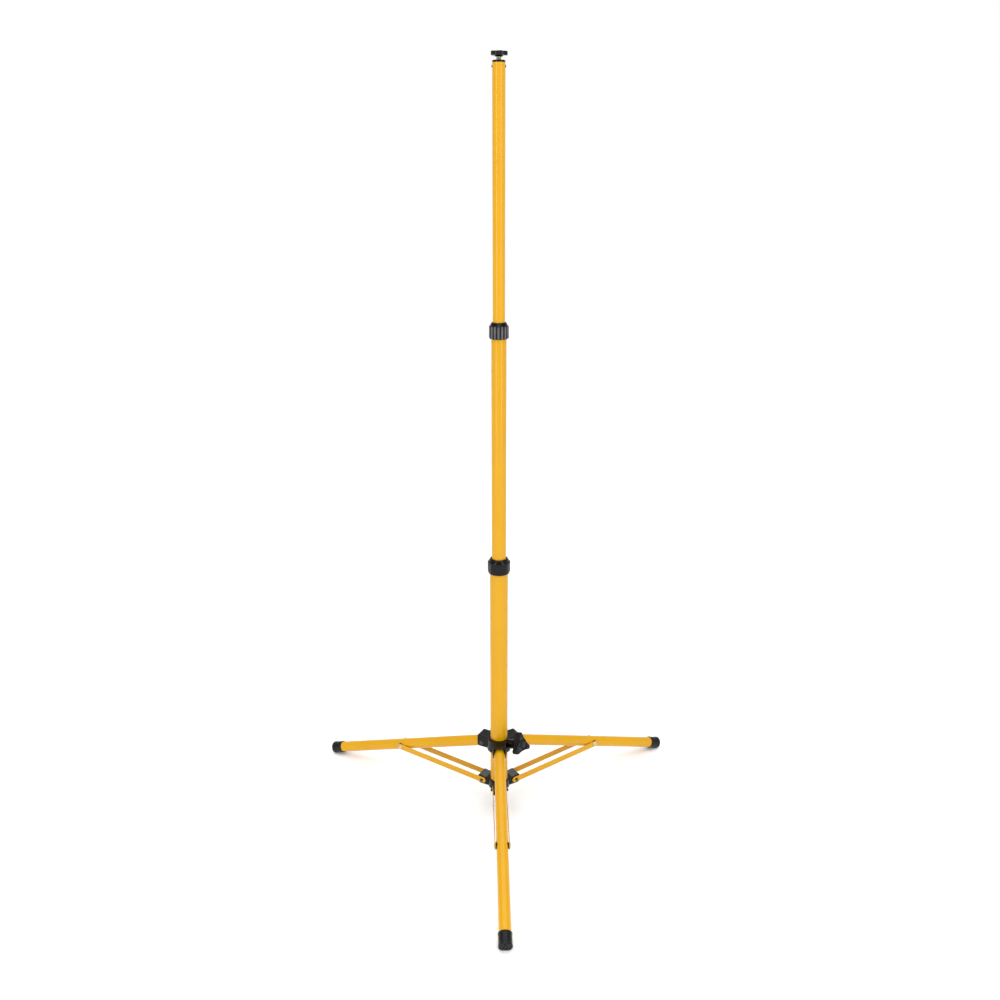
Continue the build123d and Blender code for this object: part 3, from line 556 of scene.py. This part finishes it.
def make_lower_nut():
    """Lock nut with a smooth panel front and back and a run of ribs on either side."""
    section = rounded([(17.7, 473.3, 0), (17.9, 473.0, 0), (18.5, 473.0, 0.3), (18.8, 475.0, 0.6),
                       (18.8, 493.4, 0.8), (17.2, 496.2, 0.8), (15.6, 498.9, 0.5), (14.7, 500.0, 0.4),
                       (13.4, 500.0, 0), (13.1, 499.7, 0), (13.1, 498.5, 0), (14.2, 498.5, 0),
                       (17.7, 493.0, 0)])
    azimuths = [side + step * LOWER_RIB_STEP for side in (0, 180) for step in range(-3, 4)]
    ribbed = ribs(azimuths, half_width=1.7, depth=0.85, bottom=475.2, top=494.6, inner_radius=18.0)

    def shape(radius, height, angle, index):
        """Ribs on the sides and a lipped notch at each upper corner of the panels."""
        reach = ribbed(radius, height, angle, index)
        if radius < 17.9:
            return reach
        for centre in NOTCHES:
            across = abs((math.degrees(angle) - centre + 180) % 360 - 180) / NOTCH_HALF_WIDTH
            notch = abs(height - NOTCH_HEIGHT) / NOTCH_HALF_HEIGHT
            lip = abs(height - LIP_HEIGHT) / LIP_HALF_HEIGHT
            reach -= NOTCH_DEPTH * (1 - smooth_step(math.hypot(across, notch), 0.5, 1.0))
            reach += LIP_RISE * (1 - smooth_step(math.hypot(across, lip), 0.5, 1.0))
        return reach

    turned("lower_nut_grip", "lower_lock_nut", UPRIGHT, finely(section, 1.2),
           segments=360, shape=shape, crests=True)


def make_upper_nut():
    """Lock nut with rounded ribs all round under a plain cone."""
    section = rounded([(14.1, 881.2, 0), (14.2, 881.0, 0), (14.9, 881.0, 0.3), (15.0, 884.0, 0.5),
                       (14.8, 901.8, 1.0), (12.6, 906.2, 0.6), (11.6, 907.5, 0.4), (10.9, 907.5, 0),
                       (10.6, 907.2, 0), (10.6, 905.4, 0), (11.7, 905.4, 0), (14.1, 898.5, 0)])
    azimuths = [FIRST_RIB + index * 360 / UPPER_RIBS for index in range(UPPER_RIBS)]
    shape = ribs(azimuths, half_width=2.1, depth=1.15, bottom=881.2, top=902.4, inner_radius=14.5)
    turned("upper_nut_grip", "upper_lock_nut", UPRIGHT, finely(section, 1.2),
           segments=320, shape=shape, crests=True)


def make_top_plug():
    """Moulded plug: rounded rim over the tube end, with a small fillet round the stud."""
    section = rounded([(4.0, 1268.5, 0), (8.8, 1268.5, 0.8), (8.8, 1293.5, 0), (10.0, 1293.5, 0.3),
                       (10.0, 1296.5, 0.9), (5.2, 1296.5, 0.4), (4.0, 1296.1, 0)])
    turned("mast_cap", "top_plug", UPRIGHT, section, segments=72)


def make_stud():
    """M8 stud with a cut thread."""
    section = finely(rounded([(0, 1275.5, 0), (4.0, 1275.5, 0.4), (4.0, 1304.2, 0), (3.2, 1305.0, 0),
                              (0, 1305.0, 0)]), 0.16)
    shape = helix(THREAD_MINOR_R, THREAD_PITCH, 1296.5, 1305.0, lead=0.5)
    turned("lamp_stud_thread", "lamp_stud", UPRIGHT, section, segments=48, shape=shape)


LAMP_KNOB = {"lobes": 5, "lobe_distance": 9.2, "lobe_radius": 4.1, "valley_radius": 10.6,
             "first_angle": -78}
CLAMP_KNOB = {"lobes": 3, "lobe_distance": 17.5, "lobe_radius": 5.0, "valley_radius": 11.7,
              "first_angle": -38}


def rim_levels(back, front, back_round, front_round, steps=4, between=3):
    """Insets and heights that round both edges of a rim, with more levels between the two."""
    turns = [math.pi / 2 * step / steps for step in range(steps + 1)]
    levels = [(back_round * (1 - math.sin(turn)), back + back_round * (1 - math.cos(turn)))
              for turn in turns]
    flat = front - front_round - back - back_round
    levels += [(0.0, back + back_round + flat * step / (between + 1)) for step in range(1, between + 1)]
    levels += [(front_round * (1 - math.cos(turn)), front - front_round * (1 - math.sin(turn)))
               for turn in turns]
    return levels


def knob(name, node, place, outline, rim, neck, cap):
    """Hand knob: neck, lobed rim with rounded edges, shallow dished face and a round cap."""
    section, levels = [], []
    for radius, height in neck:
        section.append((radius, height))
        levels.append((0.0, 0.0))
    for inset, height in rim:
        section.append((1.0, height))
        levels.append((inset, 1.0))
    inset = rim[-1][0]
    for radius, height, share in cap:
        section.append((radius, height))
        levels.append((inset, share))
    turned(name, node, place, section, segments=240, shape=lobed(levels, outline), closed=False)


def make_lamp_knob():
    """Five-lobed knob on the lamp stud."""
    rim = rim_levels(1302.8, 1309.0, 0.9, 1.2)
    neck = [(4.25, 1303.0), (4.3, 1301.3), (4.7, 1301.1), (5.5, 1301.1), (5.8, 1301.4), (6.8, 1302.2),
            (7.6, 1302.6), (8.6, 1302.75)]
    cap = [(9.2, 1308.95, 0.35), (7.6, 1308.8, 0.0), (6.9, 1308.35, 0.0), (6.2, 1308.3, 0.0),
           (5.7, 1308.7, 0.0), (3.0, 1308.9, 0.0), (0.0, 1308.95, 0.0)]
    knob("lamp_knob_grip", "lamp_knob", UPRIGHT, LAMP_KNOB, rim, neck, cap)


def clamp_place():
    """Frame of the clamp screw, its origin on the mast axis."""
    level = Vector((-CLAMP_DIRECTION.y, CLAMP_DIRECTION.x, 0))
    return frame_at(CLAMP_POINT - CLAMP_DIRECTION * CLAMP_REACH * MM, CLAMP_DIRECTION, level)


def make_clamp_knob():
    """Three-lobed knob on the clamp screw."""
    rim = rim_levels(44.3, 56.4, 1.6, 2.4, steps=6)
    neck = [(4.0, 41.0), (4.1, 40.6), (6.3, 40.5), (7.0, 41.0), (7.0, 43.4), (7.4, 44.0), (7.9, 44.3)]
    cap = [(13.0, 56.35, 0.6), (11.6, 56.2, 0.25), (10.7, 55.9, 0.0), (9.8, 55.2, 0.0), (8.6, 55.0, 0.0),
           (7.7, 55.3, 0.0), (7.3, 55.9, 0.0), (6.2, 56.2, 0.0), (3.0, 56.35, 0.0), (0.0, 56.4, 0.0)]
    knob("clamp_knob_grip", "clamp_knob", clamp_place(), CLAMP_KNOB, rim, neck, cap)


def make_clamp_screw():
    """M8 clamp screw with a cut thread."""
    section = finely([(0, 20.05), (3.4, 20.05), (4.0, 20.7), (4.0, 41.0), (3.9, 51.0), (0, 51.0)], 0.16)
    shape = helix(THREAD_MINOR_R, THREAD_PITCH, 20.6, 41.0, lead=0.6)
    turned("clamp_screw_thread", "clamp_screw", clamp_place(), section, segments=48, shape=shape)


# ---------------------------------------------------------------- pieces on the legs
def leg_frames(leg):
    """Pivot point, direction down the leg, sideways direction and brace rivet point of a leg."""
    fold = JOINTS[f"leg_{leg}_fold"]
    pivot = Vector(fold["pos_m"])
    rivet = Vector(JOINTS[f"braces_{leg}_fold"]["pos_m"])
    return pivot, (rivet - pivot).normalized(), Vector(fold["axis"]).normalized(), rivet


def spider_pivot(rivet):
    """Point where the braces of a leg meet the spider, from the leg's rivet point."""
    outward = Vector((rivet.x, rivet.y, 0)).normalized()
    return (outward * SPIDER_PIVOT[0] + Vector((0, 0, SPIDER_PIVOT[1]))) * MM


def cut_at_floor(piece):
    """Trim a piece flat at the floor."""
    mesh_data = bmesh.new()
    mesh_data.from_mesh(piece.data)
    geometry = mesh_data.verts[:] + mesh_data.edges[:] + mesh_data.faces[:]
    cut = bmesh.ops.bisect_plane(mesh_data, geom=geometry, plane_co=(0, 0, 0), plane_no=(0, 0, 1),
                                 clear_inner=True)
    rim = [item for item in cut["geom_cut"] if isinstance(item, bmesh.types.BMEdge)]
    bmesh.ops.contextual_create(mesh_data, geom=rim)
    bmesh.ops.recalc_face_normals(mesh_data, faces=mesh_data.faces)
    mesh_data.to_mesh(piece.data)
    mesh_data.free()
    piece.data.shade_smooth()
    piece.data.set_sharp_from_angle(angle=math.radians(38))


def make_foot_cap(leg):
    """Rubber cap: rolled lip at the mouth, slight waist, ringed end face, flat where it stands."""
    pivot, along, across, _ = leg_frames(leg)
    mouth, end = CAP_MOUTH, LEG_REACH
    outer = rounded([(LEG_R, mouth + 0.6, 0), (LEG_R + 0.15, mouth, 0.1), (FOOT_R - 0.1, mouth, 0.55),
                     (FOOT_R - 0.05, mouth + 2.6, 0.4), (FOOT_R - 0.4, mouth + 3.0, 0.3),
                     (FOOT_R - 0.35, end - 4.2, 0.5), (FOOT_R, end - 3.6, 0.4), (FOOT_R, end, 1.0),
                     (9.9, end, 0.3), (9.5, end - 0.9, 0.3), (7.4, end - 0.9, 0.3),
                     (7.0, end - 0.2, 0.3), (5.4, end - 0.2, 0.3), (5.0, end - 0.9, 0.3),
                     (2.9, end - 0.9, 0.3), (2.5, end - 0.2, 0.3), (0, end - 0.2, 0)])
    inside = [Vector((LEG_R, mouth + 0.7)), Vector((LEG_R, end - 4.0)), Vector((0, end - 4.0))]
    mesh_data = bmesh.new()
    add_turned(mesh_data, outer[::-1] + inside, segments=96, closed=False)
    place = frame_at(pivot, along, across)
    cut_at_floor(add_piece(f"foot_cap_rubber_{leg}", mesh_data, place, f"foot_cap_{leg}"))


def head_section(start, radius, height):
    """Half section of a domed rivet head on a flat face at the given height."""
    edge = 0.28
    dome = height - edge
    line = [Vector((radius - 0.1, start)), Vector((radius, start + 0.12)),
            Vector((radius, start + edge))]
    for step in range(1, 7):
        turn = math.pi / 2 * step / 6
        line.append(Vector((radius * math.cos(turn), start + edge + dome * math.sin(turn))))
    line[-1].x = 0.0
    return line


def make_rivet(name, node, spots, half, shank, head_r, head_h):
    """Through pins with a domed head at both ends, at (point, sideways direction) spots."""
    mesh_data = bmesh.new()
    section = [Vector((0, 0)), Vector((shank, 0)), Vector((shank, half))]
    section += head_section(half, head_r, head_h)
    for point, across in spots:
        for side in (1, -1):
            place = in_mm(frame_at(point, across * side, (0, 0, 1)))
            add_turned(mesh_data, section, segments=40, closed=False, shift=place)
    add_piece(name, mesh_data, Matrix.Identity(4), node)


def make_brace_stubs(leg):
    """Plain pin ends with rounded rims that hold the braces to the spider."""
    _, _, across, rivet = leg_frames(leg)
    point = spider_pivot(rivet)
    mesh_data = bmesh.new()
    end = STRIP_IN + STRIP_T + STUB_L
    section = rounded([(0, STRIP_IN, 0), (PIN_R, STRIP_IN, 0.2), (PIN_R, end - 0.9, 0.3),
                       (1.6, end, 0.7), (0, end, 0)])
    for side in (1, -1):
        place = in_mm(frame_at(point, across * side, (0, 0, 1)))
        add_turned(mesh_data, section, segments=40, closed=False, shift=place)
    add_piece(f"brace_stubs_{leg}", mesh_data, Matrix.Identity(4), f"brace_end_rivets_{leg}")


def make_brace(leg, letter, side):
    """Flat strip with rounded ends and softened edges."""
    _, _, across, rivet = leg_frames(leg)
    spider = spider_pivot(rivet)
    run = rivet - spider
    half_length = run.length / MM / 2
    # The section plane's X runs along the strip, its Z sideways and away from the leg.
    place = frame_at((spider + rivet) / 2, (across * side).normalized(), run)
    outline = []
    for base, shift in ((0.0, half_length), (math.pi, -half_length)):
        centre = shift + math.copysign(STRIP_END - STRIP_W / 2, shift)
        for step in range(17):
            outline.append((centre, base + (step / 8 - 1) * math.pi / 2))
    mesh_data = bmesh.new()
    rings = []
    for inset, height in rim_levels(STRIP_IN, STRIP_IN + STRIP_T, STRIP_ROUND, STRIP_ROUND,
                                    steps=3, between=0):
        reach = STRIP_W / 2 - inset
        points = [(centre + reach * math.cos(angle), reach * math.sin(angle), height)
                  for centre, angle in outline]
        rings.append([mesh_data.verts.new(point) for point in points])
    count = len(outline)
    for lower, upper in zip(rings, rings[1:]):
        for step in range(count):
            after = (step + 1) % count
            mesh_data.faces.new((lower[step], lower[after], upper[after], upper[step]))
    for ring in (rings[0], rings[-1]):
        # Join opposite points across the strip, so that each flat face is a row of quads.
        for step in range(count // 2 - 1):
            mesh_data.faces.new((ring[step], ring[step + 1], ring[-step - 2], ring[-step - 1]))
    add_piece(f"brace_strip_{leg}_{letter}", mesh_data, place, f"brace_{leg}_{letter}", sharp=50)


def make_rivets():
    """The domed rivets through the legs and the pivot pins of the hub."""
    hub_spots = []
    for leg in LEGS:
        pivot, _, across, rivet = leg_frames(leg)
        hub_spots.append((pivot, across))
        make_rivet(f"brace_rivet_domed_{leg}", f"brace_rivet_{leg}", [(rivet, across)],
                   half=STRIP_IN + STRIP_T, shank=PIN_R, head_r=4.2, head_h=1.3)
    make_rivet("leg_pivot_pins", "hub_pins", hub_spots,
               half=ARM_HALF, shank=PIN_R, head_r=3.9, head_h=1.1)


make_camera()
make_floor()
make_studio()
for node, slot in SLOT_OF.items():
    dress(frame["nodes"][node], slot)
make_lower_nut()
make_upper_nut()
make_top_plug()
make_stud()
make_lamp_knob()
make_clamp_knob()
make_clamp_screw()
make_rivets()
for leg in LEGS:
    make_foot_cap(leg)
    make_brace_stubs(leg)
    make_brace(leg, "a", 1)
    make_brace(leg, "b", -1)
